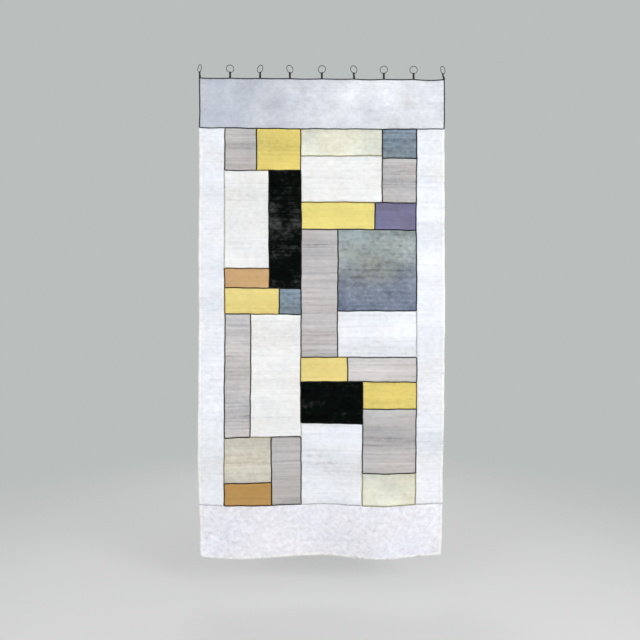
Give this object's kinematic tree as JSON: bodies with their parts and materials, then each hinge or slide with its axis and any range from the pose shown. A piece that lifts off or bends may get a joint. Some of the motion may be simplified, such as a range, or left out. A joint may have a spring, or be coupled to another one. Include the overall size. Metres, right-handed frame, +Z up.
{
  "type": "pojagi patchwork hanging cloth",
  "caption": "Sheer pieced ramie hanging: four plain borders round a patchwork field, hung from its top edge by ribbon tabs and wire rings.",
  "frame": {"origin": "bearing point inside the top of the middle ring, in the plane of the cloth's top edge", "axes": "+X to the right across the cloth, +Y away from the viewer, +Z up; the front faces -Y"},
  "size_m": [1.0123, 0.0635, 2.006],
  "materials": {
    "white_ramie": "sheer plain weave, lavender white",
    "haze_ramie": "sheer plain weave, pale grey blue",
    "patch_ramie": "sheer plain weaves of many colours, felled seams",
    "ink_ribbon": "black woven ribbon and edging",
    "dark_steel": "dark nickel wire, satin"
  },
  "bodies": {
    "root": {"top_band": "haze_ramie", "left_band": "white_ramie", "right_band": "white_ramie", "bottom_band": "white_ramie", "patchwork_field": "patch_ramie", "binding_top": "ink_ribbon", "binding_left": "ink_ribbon", "binding_right": "ink_ribbon", "tab_1": "ink_ribbon", "ring_1": "dark_steel", "tab_2": "ink_ribbon", "ring_2": "dark_steel", "tab_3": "ink_ribbon", "ring_3": "dark_steel", "tab_4": "ink_ribbon", "ring_4": "dark_steel", "tab_5": "ink_ribbon", "ring_5": "dark_steel", "tab_6": "ink_ribbon", "ring_6": "dark_steel", "tab_7": "ink_ribbon", "ring_7": "dark_steel", "tab_8": "ink_ribbon", "ring_8": "dark_steel", "tab_9": "ink_ribbon", "ring_9": "dark_steel"}
  },
  "joints": []
}
